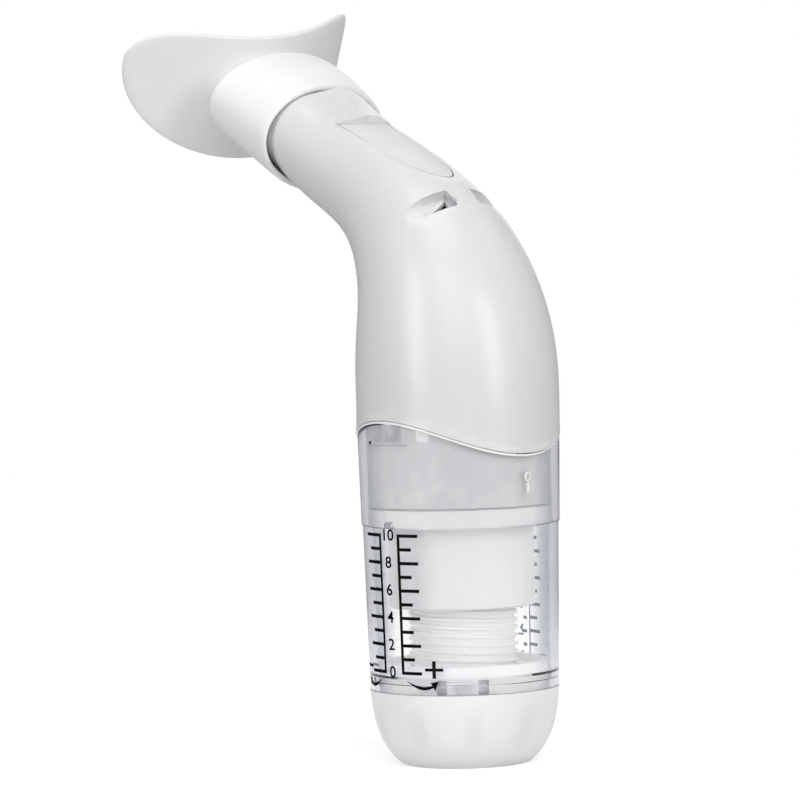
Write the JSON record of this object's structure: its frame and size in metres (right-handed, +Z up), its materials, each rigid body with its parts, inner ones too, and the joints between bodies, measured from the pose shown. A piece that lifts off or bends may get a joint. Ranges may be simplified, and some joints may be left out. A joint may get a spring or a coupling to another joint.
{
  "type": "inspiratory breathing trainer",
  "caption": "Hand-held breathing trainer with a bent shell, soft lip mouthpiece, clear scale sleeve, spring-loaded inlet valve and a knob that sets the load.",
  "frame": {"origin": "middle of the knob's flat foot, on the barrel's axis", "axes": "+Z up along the barrel's axis, mouthpiece toward -X, XZ is the plane of symmetry"},
  "size_m": [0.1156, 0.0722, 0.1898],
  "materials": {
    "silicone_white": "satin",
    "shell_grey": "satin",
    "pad_soft": "satin",
    "clear": "polished",
    "white_plastic": "satin",
    "seal_rubber": "matte",
    "spring_steel": "drawn"
  },
  "bodies": {
    "sleeve": {"scale_sleeve": "clear", "valve_housing": "white_plastic", "duct_seal": "seal_rubber", "handle_seal": "seal_rubber", "spring_washer": "spring_steel", "load_spring": "spring_steel"},
    "knob": {"tension_knob": "white_plastic"},
    "poppet": {"poppet_disc": "white_plastic", "poppet_seal": "seal_rubber", "stem_screw": "spring_steel"},
    "screw": {"lead_screw": "white_plastic"},
    "cup": {"spring_cup": "white_plastic"},
    "handle": {"handle_shell": "shell_grey", "thumb_pad": "pad_soft", "airway_duct": "white_plastic", "flap_clip_left": "white_plastic", "flap_clip_right": "white_plastic"},
    "flap_left": {"exhale_flap_left": "seal_rubber"},
    "flap_right": {"exhale_flap_right": "seal_rubber"},
    "mouth": {"mouthpiece": "silicone_white"}
  },
  "joints": [
    {"name": "knob_turn", "type": "hinge", "parent": "sleeve", "child": "knob", "pos_m": [0, 0, 0], "axis": [0, 0, 1], "range_deg": [-1350, 1692]},
    {"name": "valve_lift", "type": "slide", "parent": "sleeve", "child": "poppet", "axis": [0, 0, 1], "range_m": [0, 0.003], "stiffness_N_per_m": 300, "springref_m": -0.0075},
    {"name": "screw_turn", "type": "hinge", "parent": "poppet", "child": "screw", "pos_m": [0, 0, 0], "axis": [0, 0, 1], "range_deg": [-1360, 1702]},
    {"name": "load_setting", "type": "slide", "parent": "poppet", "child": "cup", "axis": [0, 0, 1], "range_m": [-0.0149, 0.0187], "deforming": ["load_spring"]},
    {"name": "handle_lift", "type": "slide", "parent": "sleeve", "child": "handle", "axis": [0, 0, 1], "range_m": [0, 0.045]},
    {"name": "flap_left_open", "type": "hinge", "parent": "handle", "child": "flap_left", "pos_m": [-0.01632, 0.0126, 0.13703], "axis": [0.7771, 0, 0.6293], "range_deg": [0, 15], "stiffness_Nm_per_rad": 0.00003, "springref_deg": -17.19},
    {"name": "flap_right_open", "type": "hinge", "parent": "handle", "child": "flap_right", "pos_m": [-0.01632, -0.0126, 0.13703], "axis": [-0.7771, 0, -0.6293], "range_deg": [0, 15], "stiffness_Nm_per_rad": 0.00003, "springref_deg": -17.19},
    {"name": "mouthpiece_pull", "type": "slide", "parent": "handle", "child": "mouth", "axis": [-0.866, 0, 0.5], "range_m": [0, 0.03]}
  ],
  "couplings": [
    {"joint": "knob_turn", "follows": "load_setting", "rad_per_m": 1570.8},
    {"joint": "screw_turn", "follows": "load_setting", "rad_per_m": 1570.8}
  ]
}
